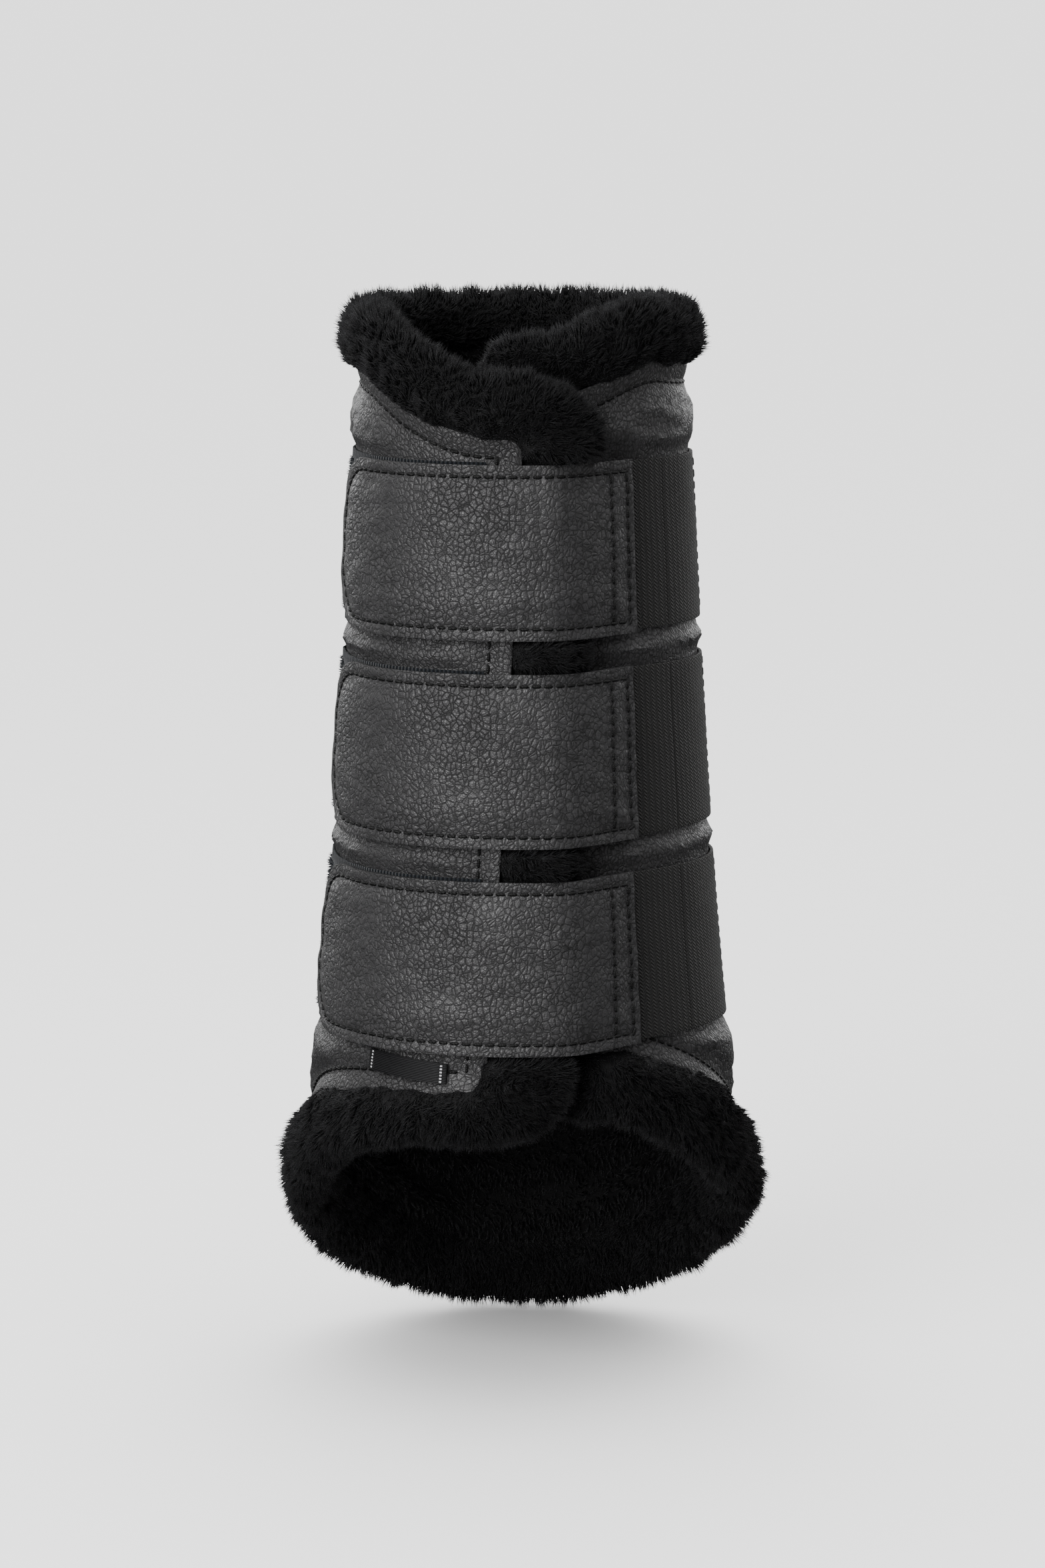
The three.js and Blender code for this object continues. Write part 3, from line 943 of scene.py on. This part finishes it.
class Roll:
    """The surface of one roll: a runs along it, and b round its section."""

    def __init__(self, side, part, inset):
        self.side, self.part, self.inset = side, part, inset
        self.rows = stations_of(side, part)
        self.lap = side_lap(side)
        self.index = np.linspace(0, 1, len(self.rows))

    def at(self, a):
        return [np.interp(a, self.index, self.rows[:, k]) for k in range(4)]

    def spot(self, a, across, depth):
        """Turn, height and offset at shares of the width and of the thickness."""
        turn, height, out, width = self.at(a)
        reach = between(-1.5 * MM, width - self.inset, across)
        angle = np.radians(out)
        z = height + reach * np.sin(angle)
        t = turn + degrees(reach * np.cos(angle), height)
        low = -WALL + self.inset * 0.4
        high = self.top(t, z, across)
        return t, z, between(low, high, depth)

    def pressed(self, turn, height):
        """1 where a strap or the other flap holds the roll down."""
        if self.side == "left":
            return under_strap(height, 3 * MM)
        return under_left_flap(turn, height)

    def top(self, turn, height, across):
        """How far out the roll's face lies."""
        free = ROLL_PUFF - self.inset * 0.75
        if self.side == "left":
            room = strap_lap(turn, height) - left_lap(turn) - 1.1 * MM
            held = np.minimum(0.2 * MM, room)
        else:
            held = 0 * turn - 1.2 * MM
        puffed = between(0 * turn + free, held, self.pressed(turn, height))
        if self.part == "edge":
            between_straps = ease(share(height, strap_zones()[0][0], strap_zones()[0][0] + 4 * MM))
            between_straps *= ease(share(height, strap_zones()[-1][1], strap_zones()[-1][1] - 4 * MM))
            puffed = np.minimum(puffed, between(puffed, held + 2.6 * MM, between_straps))
        return puffed

    def section(self, b):
        angle = 2 * math.pi * b
        square = 0.82
        c, s = np.cos(angle), np.sin(angle)
        x = np.sign(c) * np.abs(c) ** square
        y = np.sign(s) * np.abs(s) ** square
        return (1 + x) / 2, (1 + y) / 2

    def plain(self, a, b):
        across, depth = self.section(b)
        t, z, offset = self.spot(a, across, depth)
        return place(t, z, offset, self.lap)

    def core(self, a, b=None):
        t, z, offset = self.spot(a, 0.5 + 0 * a, 0.5 + 0 * a)
        return place(t, z, offset, self.lap)

    def surface(self, a, b):
        points = self.plain(a, b)
        middle = self.core(a)
        t, z, _ = self.spot(a, 0.5 + 0 * a, 0.5 + 0 * a)
        free = 1 - 0.8 * self.pressed(t, z)
        lumps = 0.07 * ripple(points, 16 * MM, 21) + 0.035 * ripple(points, 6 * MM, 22)
        return middle + (points - middle) * (1 + lumps * free)[:, None]

    def comb(self, a, b):
        """The pile is brushed away from the wrap, and kept off the leather's edge."""
        turn, _, out, _ = (np.radians(column) for column in self.at(a))
        along = np.stack([np.cos(turn), np.sin(turn), 0 * turn], axis=1)
        across, depth = self.section(b)
        hold = ease(share(across, 0.55, 0.3)) * ease(share(depth, 0.4, 0.6))
        return np.cos(out)[:, None] * along + np.sin(out)[:, None] * UP, 0.75, hold

    def reach(self, a, b, root):
        across, depth = self.section(b)
        t, z, _ = self.spot(a, across, depth)
        shown = 1 - self.pressed(t, z) * (depth > 0.3)
        long = between(2.4 * MM, sizes().pile, shown)
        inside = ease(share(depth, 0.35, 0.05))
        return long * between(1, 0.7, inside) * between(0.35, 1, ease(share(across, 0.05, 0.3)))


ROLL_CELLS = {"top": (160, 28), "bottom": (190, 30), "edge": (150, 28)}


def make_roll(side, part):
    roll = Roll(side, part, 2.8 * MM)
    columns, rows = ROLL_CELLS[part]
    base = tube(f"{part}_roll_{side}", columns, rows, roll.surface)
    # Painted shade: the roll's skin under the pile gets the lowest 'tip' number, so it is coloured darkest.
    paint(base, "tip", 0.1)
    paint(base, "tone", 0.3)
    hidden = side == "right" and part == "edge"
    pitch = sizes().tuft_pitch * (1.9 if hidden else 1)
    seed = 100 + 10 * SIDES.index(side) + len(part)
    cells = (columns, rows)
    join(base, pile(roll.surface, roll.core, cells, pitch, roll.reach, 0.46 * MM, roll.comb, seed))
    finished(base, plush_material)
    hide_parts(f"{part}_roll_{side}")
    if part == "edge":
        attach(base, side + "_flap")
    else:
        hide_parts(f"{part}_roll_back")
        fold_with_flap(base, side)


def lining_point(side, u, v, offset):
    turn = shell_turn(side, u, v)
    low, high = bottom_of(turn, side) - 2 * MM, top_of(turn, side) + 2 * MM
    height = between(low, high, v)
    rise = height - low + 2 * MM * np.sin(np.radians(turn) * 2)
    ridges = 3.4 * MM * ease(share(rise, 62 * MM, 40 * MM)) * np.sin(rise / (17 * MM) * math.pi) ** 2
    flat = np.stack([turn * 0.9 * MM, height, 0 * turn], axis=1)
    lumps = 0.5 * MM * ripple(flat, 14 * MM, 31)
    inner = share(offset, -3 * MM, -WALL + 2 * MM)
    return place(turn, height, offset + inner * (lumps - ridges), side_lap(side))


def make_lining(side):
    """The pressed pile over its foam: a padded sheet with its own pile on the leg's side."""
    inner = -WALL + 2.6 * MM
    sheet = flat_grid("lining_" + side, 90, 70)
    lay(sheet, lambda u, v: lining_point(side, u, v, inner + 0 * u), (180 * MM, 240 * MM))
    modify(sheet, "SOLIDIFY", thickness=3.4 * MM, offset=1, use_rim=True)
    only(sheet)
    bpy.ops.object.shade_smooth_by_angle(angle=CREASE)
    # Painted shade: the lining's sheet under its pile gets the lowest 'tip' number, so it is coloured
    # darkest.
    paint(sheet, "tip", 0.1)
    paint(sheet, "tone", 0.3)

    def surface(a, b):
        return lining_point(side, np.clip(a, 0, 1), np.clip(b, 0, 1), inner + 0 * a)

    def outside(a, b):
        return lining_point(side, a, b, 0 * a)

    def reach(a, b, root):
        return 0 * a + 2.6 * MM

    def comb(a, b):
        return -UP + 0 * a[:, None], 0.8, 0 * a

    pitch, seed = sizes().lining_pitch, 300 + len(side)
    join(sheet, pile(surface, outside, (60, 60), pitch, reach, 1.0 * MM, comb, seed))
    finished(sheet, plush_material)
    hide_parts("lining_" + side, "lining_back", "foam_" + side, "foam_back")
    fold_with_flap(sheet, side)


# ---- Loop patches and label ----
def make_loop_patch(which):
    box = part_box("loop_patch_" + which)
    low, high = box[0][2], box[1][2] + 0.9 * MM
    middle = (low + high) / 2
    long = math.radians(LOOP_END - LOOP_START) * float(profile(middle))

    def surface(a, b):
        turn = between(LOOP_START, LOOP_END, a)
        height = between(low, high, b)
        wave = 0.12 * MM * ripple(np.stack([turn * MM, height, 0 * turn], axis=1), 12 * MM, 41)
        return place(turn, height, GAP + LOOP - 0.25 * MM + wave, left_lap)

    patch = flat_grid("loops_" + which, 60, 30)
    lay(patch, surface, (long, high - low))
    height = points_of(patch)[:, 2]
    upper = share(height, high - 3.2 * MM, high - 2.8 * MM)
    lower = share(height, low + 3.2 * MM, low + 2.8 * MM)
    paint(patch, "border", np.maximum(upper, lower))
    paint(patch, "tone", 0.2)
    thicken(patch, LOOP - 0.25 * MM, 0.15 * MM)
    inset = 3.2 * MM / (high - low)

    def piled(a, b):
        return surface(a, between(inset, 1 - inset, b))

    def core(a, b):
        return place(between(LOOP_START, LOOP_END, a), between(low, high, b), -2 * MM + 0 * a, left_lap)

    def reach(a, b, root):
        turn = between(LOOP_START, LOOP_END, a)
        return between(0.6 * MM, 1.5 * MM, ease(share(turn, TAB_START + 2, TAB_START - 4)))

    def comb(a, b):
        return UP + 0 * a[:, None], 0.2, 0 * a

    seed = 400 + STRAPS.index(which)
    join(patch, pile(piled, core, (50, 30), 0.85 * MM, reach, 0.5 * MM, comb, seed))
    finished(patch, loop_material)
    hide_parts("loop_patch_" + which)
    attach(patch, "left_flap")


def make_label():
    """A folded ribbon, caught under the lowest strap's patch, with a row of pale dashes at each fold."""
    low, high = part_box("size_label")
    start, end = -42, -19  # turns of its two folds
    tall = high[2] - low[2] - 3.5 * MM

    def where(u, v):
        turn = between(start, end, u)
        height = high[2] - 0.5 * MM - (1 - v) * (tall + 1.5 * MM) - 2.2 * MM * u
        fold_in = 0.7 * MM * ease(share(np.abs(u - 0.5), 0.38, 0.5))
        return place(turn, height, 1.9 * MM + 0.5 * MM * (1 - v) - fold_in, left_lap)

    label = flat_grid("ribbon", 40, 10)
    lay(label, where, (26 * MM, tall))
    thicken(label, 0.5 * MM, 0.1 * MM)
    finished(label, label_material)
    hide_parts("size_label")
    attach(label, "left_flap")
    for name, across in (("left", 0.06), ("right", 0.94)):
        dashes = []
        for k in range(6):

            def stroke(u, w, v=0.12 + 0.15 * k):
                return where(across + 0.022 * (u - 0.5), v + 0.075 * (w - 0.5)) * [1.0016, 1.0016, 1]

            dash = flat_grid("dash", 2, 2)
            lay(dash, stroke, (MM, MM))
            thicken(dash, 0.12 * MM)
            dashes.append(dash)
        dashes[0].name = "label_dashes_" + name
        join(dashes[0], *dashes[1:])
        finished(dashes[0], dash_material)
        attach(dashes[0], "left_flap")


# ---- Straps ----
class Strap:
    """One strap: places on it are a distance along it from the front line and one up from its middle."""

    def __init__(self, which):
        self.which = which
        low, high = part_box("tab_leather_" + which)
        self.middle = (low[2] + high[2]) / 2
        self.half = (high[2] - low[2]) / 2 - 0.3 * MM
        self.radius = float(profile(self.middle))
        self.start = math.radians(TAB_START) * self.radius
        self.end = TAB_REACH
        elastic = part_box("elastic_" + which)
        self.elastic_half = (elastic[1][2] - elastic[0][2]) / 2 - 0.4 * MM

    def turn(self, along):
        return np.degrees(along / self.radius)

    def along(self, turn):
        return math.radians(turn) * self.radius

    def place(self, along, up, offset):
        return place(self.turn(along), self.middle + up, offset, soft_strap_lap)


def tab_outline(strap, corner):
    """Half the tab's width at a distance along it."""
    return lambda along: strap.half - corner_cut(along - strap.start, corner)


TAB_CORNER = 20 * MM


def tab_columns(u, start, end, corner):
    """Spreads columns so that they crowd towards a rounded end."""
    knee = 0.16
    bent = corner * (1 - np.cos(np.clip(u / knee, 0, 1) * math.pi / 2))
    return np.where(u < knee, start + bent, between(start + corner, end, (u - knee) / (1 - knee)))


def tab_face(strap, along, up, half):
    """How far a tab's face lies out of the strap's surface: a flat hem, a sunk seam and a soft middle."""
    s = sizes()
    free = np.minimum(half - np.abs(up), along - strap.start)
    free = np.minimum(free, strap.end - along + 0.8 * MM)
    round_end = strap.start + TAB_CORNER
    beyond = np.maximum(np.abs(up) - (strap.half - TAB_CORNER), 0)
    centre = np.hypot(np.minimum(along - round_end, 0), beyond)
    free = np.where(along < round_end, np.minimum(free, np.maximum(TAB_CORNER - centre, 0)), free)
    seam = np.exp(-(((free - s.hem) / (0.8 * MM)) ** 2))
    second = np.exp(-(((strap.end - along - 9.8 * MM) / (0.8 * MM)) ** 2))
    face = ELASTIC + GAP + TAB
    crown = 0.75 * MM * ease(share(free, s.hem, s.hem + 8 * MM))
    sunk = 1.5 * MM * ease(share(along, strap.end - 16 * MM, strap.end - 34 * MM))
    lift = 0.3 * MM * ease(share(along, strap.start + 12 * MM, strap.start)) ** 2 - sunk
    flat = np.stack([along, up * 1.5, 0 * up], axis=1)
    seed = 51 + STRAPS.index(strap.which)
    grain = 0.16 * MM * ripple(flat, 14 * MM, seed)
    bend = np.exp(-(((along - strap.along(9)) / (6 * MM)) ** 2)) * ease(share(free, s.hem, s.hem + 3 * MM))
    wrinkles = 0.16 * MM * bend * ripple(flat * [1, 0.12, 1], 4 * MM, seed + 7)
    return face + crown + lift + grain + wrinkles - 0.42 * MM * np.maximum(seam, second)


def make_tab(which):
    strap = Strap(which)
    outline = tab_outline(strap, TAB_CORNER)

    def where(u, v):
        along = tab_columns(u, strap.start, strap.end, TAB_CORNER)
        half = outline(along)
        up = half * (2 * v - 1)
        return strap.place(along, up, tab_face(strap, along, up, strap.half))

    tab = flat_grid("tab_" + which, 130, 56)
    lay(tab, where, (strap.end - strap.start, 2 * strap.half))
    thicken(tab, 1.5 * MM, 0.35 * MM)
    finished(tab, leather_material)
    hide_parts("tab_leather_" + which)
    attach(tab, "tab_" + which)
    for name, line in tab_seams(strap).items():
        along, up = line[:, 0], line[:, 1]
        at = tab_face(strap, along, up, strap.half)
        points = strap.place(along, up, at + 0.12 * MM)
        thread = stitched(f"tab_{name}_{which}", points, strap.place(along, up, at + MM) - points)
        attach(thread, "tab_" + which)


def tab_seams(strap):
    """The seam round a tab, and the second one across its square end."""
    s = sizes()
    right = strap.end - 2.6 * MM
    left = strap.start + TAB_CORNER
    high = strap.half - s.hem
    bend = TAB_CORNER - s.hem
    angles = np.radians(np.linspace(90, 180, 24))
    arc = np.stack([left + bend * np.cos(angles), strap.half - TAB_CORNER + bend * np.sin(angles)], axis=1)
    upper = np.concatenate([[[right, high]], arc])
    lower = upper[::-1] * [1, -1]
    closed = np.concatenate([upper, lower, [[right, high]]])
    second = right - 7.2 * MM
    across = np.stack([np.full(40, second), np.linspace(-high, high, 40)], axis=1)
    return {"seam": dense(closed), "cross_seam": across}


def dense(line):
    """The same line with a point at least every millimetre."""
    parts = []
    for p, q in zip(line, line[1:]):
        count = max(2, int(np.linalg.norm(q - p) / MM))
        parts.append(np.linspace(p, q, count, endpoint=False))
    return np.concatenate([*parts, line[-1:]])


def make_hook_pad(which):
    strap = Strap(which)
    low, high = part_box("hook_pad_" + which)
    start = strap.start + 7 * MM
    end = start + 58 * MM
    half = (high[2] - low[2]) / 2
    corner = 13 * MM

    def where(u, v):
        along = tab_columns(u, start, end, corner)
        up = (half - corner_cut(along - start, corner)) * (2 * v - 1)
        return strap.place(along, up, 0.75 * MM + 0 * u)

    pad = flat_grid("hooks_" + which, 60, 24)
    lay(pad, where, (end - start, 2 * half))
    thicken(pad, 0.8 * MM)
    finished(pad, hook_material)
    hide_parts("hook_pad_" + which)
    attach(pad, "tab_" + which)


def elastic_sheet(name, strap, start, end):
    def where(u, v):
        along = between(start, end, u)
        up = strap.elastic_half * (2 * v - 1)
        sag = 0.1 * MM * ripple(np.stack([along, up, 0 * up], axis=1), 25 * MM, 61)
        return strap.place(along, up, ELASTIC - 0.1 * MM + sag)

    web = flat_grid(name, max(12, int((end - start) / (1.2 * MM))), 24)
    lay(web, where, (end - start, 2 * strap.elastic_half), start)
    thicken(web, ELASTIC - 0.2 * MM, 0.25 * MM)
    return finished(web, elastic_material)


def strap_bend(piece, name):
    """Looks up a strap's hinge, and only bakes the piece's placement into its points, without bending it."""
    hinge = joint(name)
    pivot = np.array(hinge["pos_m"])
    axis = np.array(hinge["axis"]) / np.linalg.norm(hinge["axis"])
    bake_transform(piece)


def make_elastic(which):
    strap = Strap(which)
    split = strap.along(60)
    tail = strap.end - 12.6 * MM
    free = elastic_sheet("webbing_" + which, strap, tail, split)
    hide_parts("elastic_" + which, "elastic_tail_" + which)
    strap_bend(free, f"tab_{which}_peel")
    root = elastic_sheet("webbing_root_" + which, strap, split, strap.along(ELASTIC_ROOT))
    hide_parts("elastic_anchor_" + which, "elastic_" + which)
    strap_bend(root, f"strap_{which}_swing")
    low, high = -strap.elastic_half + 3 * MM, strap.elastic_half - 3 * MM
    near, far = strap.along(ELASTIC_FLEX + 20), strap.along(ELASTIC_ROOT - 2)
    box = dense(np.array([[near, low], [far, low], [far, high], [near, high], [near, low], [far, high]]))
    points = strap.place(box[:, 0], box[:, 1], ELASTIC)
    outside = strap.place(box[:, 0], box[:, 1], 2 * MM)
    thread = stitched("anchor_stitches_" + which, points, outside - points)
    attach(thread, "right_flap")


# ---- Stage ----
def make_stage():
    tone = colours().floor
    bpy.ops.object.select_all(action="DESELECT")
    bpy.ops.mesh.primitive_plane_add(size=1000, location=(0, 0, -0.5 * MM))
    floor = bpy.context.object
    floor.name = "floor"
    bpy.ops.object.transform_apply(location=True, rotation=True, scale=True)
    n = Nodes("studio_floor")
    at = n.coordinates("Object")
    grain = n.noise(at, 60, 3)
    floor.data.materials.append(n.set(color=n.mix(grain, tinted(tone, 0.985), tone), roughness=0.9))
    floor.visible_glossy = False
    floor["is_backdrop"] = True

    world = bpy.data.worlds.new("studio")
    bpy.context.scene.world = world
    world.use_nodes = True
    nodes, links = world.node_tree.nodes, world.node_tree.links
    way = nodes.new("ShaderNodeTexCoord")
    axes = nodes.new("ShaderNodeSeparateXYZ")
    links.new(way.outputs["Generated"], axes.inputs[0])

    def graded(axis, start, end, low, high):
        ramp = nodes.new("ShaderNodeMapRange")
        for name, value in (("From Min", start), ("From Max", end), ("To Min", low), ("To Max", high)):
            ramp.inputs[name].default_value = value
        links.new(axes.outputs[axis], ramp.inputs["Value"])
        return ramp.outputs["Result"]

    def combined(operation, a, b):
        node = nodes.new("ShaderNodeMath")
        node.operation = operation
        links.new(a, node.inputs[0])
        links.new(b, node.inputs[1])
        return node.outputs[0]

    backdrop = combined("MULTIPLY", graded("Z", -0.05, 0.02, 0.0, 1.0), graded("Y", 0.5, 0.85, 0.0, 3.6))
    sky = combined("ADD", graded("Z", -0.05, 0.12, 0.05, 0.28), graded("Z", 0.45, 0.9, 0.0, 3.0))
    nodes["Background"].inputs["Color"].default_value = (1, 1, 1, 1)
    seen = nodes.new("ShaderNodeMapRange")
    links.new(nodes.new("ShaderNodeLightPath").outputs["Is Camera Ray"], seen.inputs["Value"])
    links.new(combined("ADD", backdrop, sky), seen.inputs["To Min"])
    # The camera sees one even tone behind the boot, which meets the lit floor without a line.
    seen.inputs["To Max"].default_value = 2.4
    links.new(seen.outputs["Result"], nodes["Background"].inputs["Strength"])

    softbox("key", azimuth=-31, rise=20, distance=1.9, size=(1.15, 1.5), radiance=11.0)
    softbox("side_left", azimuth=-118, rise=12, distance=1.5, size=(0.5, 1.5), radiance=0.8)
    softbox("side_right", azimuth=128, rise=12, distance=1.5, size=(0.4, 1.5), radiance=1.1)

    bpy.ops.object.camera_add()
    camera = bpy.context.object
    camera.name = "camera"
    camera.data.lens = 115
    camera.data.sensor_width = 36
    distance, tilt, aim = 1.5, math.radians(9), 0.179
    camera.location = (0, -distance * math.cos(tilt), aim + distance * math.sin(tilt))
    camera.rotation_euler = (math.pi / 2 - tilt, 0, 0)
    camera.data.clip_end = 2000
    bpy.context.scene.camera = camera


LIGHT_AIM = 0.16  # the height that the lights face


def softbox(name, azimuth, rise, distance, size, radiance):
    """A large light that faces the boot: azimuth runs from the front round to the right."""
    around, above = math.radians(azimuth), math.radians(rise)
    flat = distance * math.cos(above)
    height = LIGHT_AIM + distance * math.sin(above)
    location = (flat * math.sin(around), -flat * math.cos(around), height)
    bpy.ops.object.light_add(type="AREA", location=location)
    light = bpy.context.object
    light.name = name
    light.data.shape = "RECTANGLE"
    light.data.size, light.data.size_y = size
    light.data.energy = radiance * math.pi * size[0] * size[1]
    light.rotation_euler = (math.pi / 2 - above, 0, around)
    light.visible_camera = False


# ---- Operators ----
class BootOperator(bpy.types.Operator):
    bl_options = {"REGISTER", "UNDO"}


class BOOT_OT_shell(BootOperator):
    """Cut the leather shell, and sew its seams"""

    bl_idname = "boot.shell"
    bl_label = "Shell"

    def execute(self, context):
        for side in SIDES:
            make_shell(side)
            make_seams(side)
        make_back_seam()
        return {"FINISHED"}


class BOOT_OT_plush(BootOperator):
    """Line the shell, and bind its edges in rolls of plush"""

    bl_idname = "boot.plush"
    bl_label = "Lining and rolls"

    def execute(self, context):
        for side in SIDES:
            make_lining(side)
            for part in ("top", "bottom", "edge"):
                make_roll(side, part)
        return {"FINISHED"}


class BOOT_OT_patches(BootOperator):
    """Lay the loop patches and the size label on the left flap"""

    bl_idname = "boot.patches"
    bl_label = "Loop patches and label"

    def execute(self, context):
        for which in STRAPS:
            make_loop_patch(which)
        make_label()
        return {"FINISHED"}


class BOOT_OT_straps(BootOperator):
    """Make the elastics, and the tabs with their hook pads"""

    bl_idname = "boot.straps"
    bl_label = "Straps"

    def execute(self, context):
        for which in STRAPS:
            make_tab(which)
            make_hook_pad(which)
            make_elastic(which)
        return {"FINISHED"}


class BOOT_OT_guard(BootOperator):
    """Give the plate inside the back panel its finish"""

    bl_idname = "boot.guard"
    bl_label = "Tendon guard"

    def execute(self, context):
        guard = frame["nodes"]["tendon_guard"]
        guard.data.materials.clear()
        guard.data.materials.append(guard_material())
        return {"FINISHED"}


class BOOT_OT_stage(BootOperator):
    """Set the floor, the lights and the camera"""

    bl_idname = "boot.stage"
    bl_label = "Stage"

    def execute(self, context):
        make_stage()
        return {"FINISHED"}


OPERATORS = (BOOT_OT_shell, BOOT_OT_plush, BOOT_OT_patches, BOOT_OT_straps, BOOT_OT_guard, BOOT_OT_stage)


class BOOT_PT_panel(bpy.types.Panel):
    """Sizes and colours, and a button for each group of pieces"""

    bl_label = "Tendon Boot"
    bl_idname = "BOOT_PT_panel"
    bl_space_type = "VIEW_3D"
    bl_region_type = "UI"
    bl_category = "Tendon Boot"

    def draw(self, context):
        for group in (context.scene.boot_sizes, context.scene.boot_colours):
            box = self.layout.box()
            for name in group.__annotations__:
                box.prop(group, name)
        for operator in OPERATORS:
            self.layout.operator(operator.bl_idname)


CLASSES = (BootSizes, BootColours, *OPERATORS, BOOT_PT_panel)


def register():
    for cls in CLASSES:
        bpy.utils.register_class(cls)
    bpy.types.Scene.boot_sizes = bpy.props.PointerProperty(type=BootSizes)
    bpy.types.Scene.boot_colours = bpy.props.PointerProperty(type=BootColours)


def unregister():
    del bpy.types.Scene.boot_colours
    del bpy.types.Scene.boot_sizes
    for cls in reversed(CLASSES):
        bpy.utils.unregister_class(cls)


def main():
    register()
    for operator in OPERATORS:
        group, name = operator.bl_idname.split(".")
        getattr(getattr(bpy.ops, group), name)()
    boxes = {"cad": cad_bounds, "visual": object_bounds()}
    {name: [[float(c) for c in corner] for corner in box] for name, box in boxes.items()}


if __name__ == "__main__":
    main()
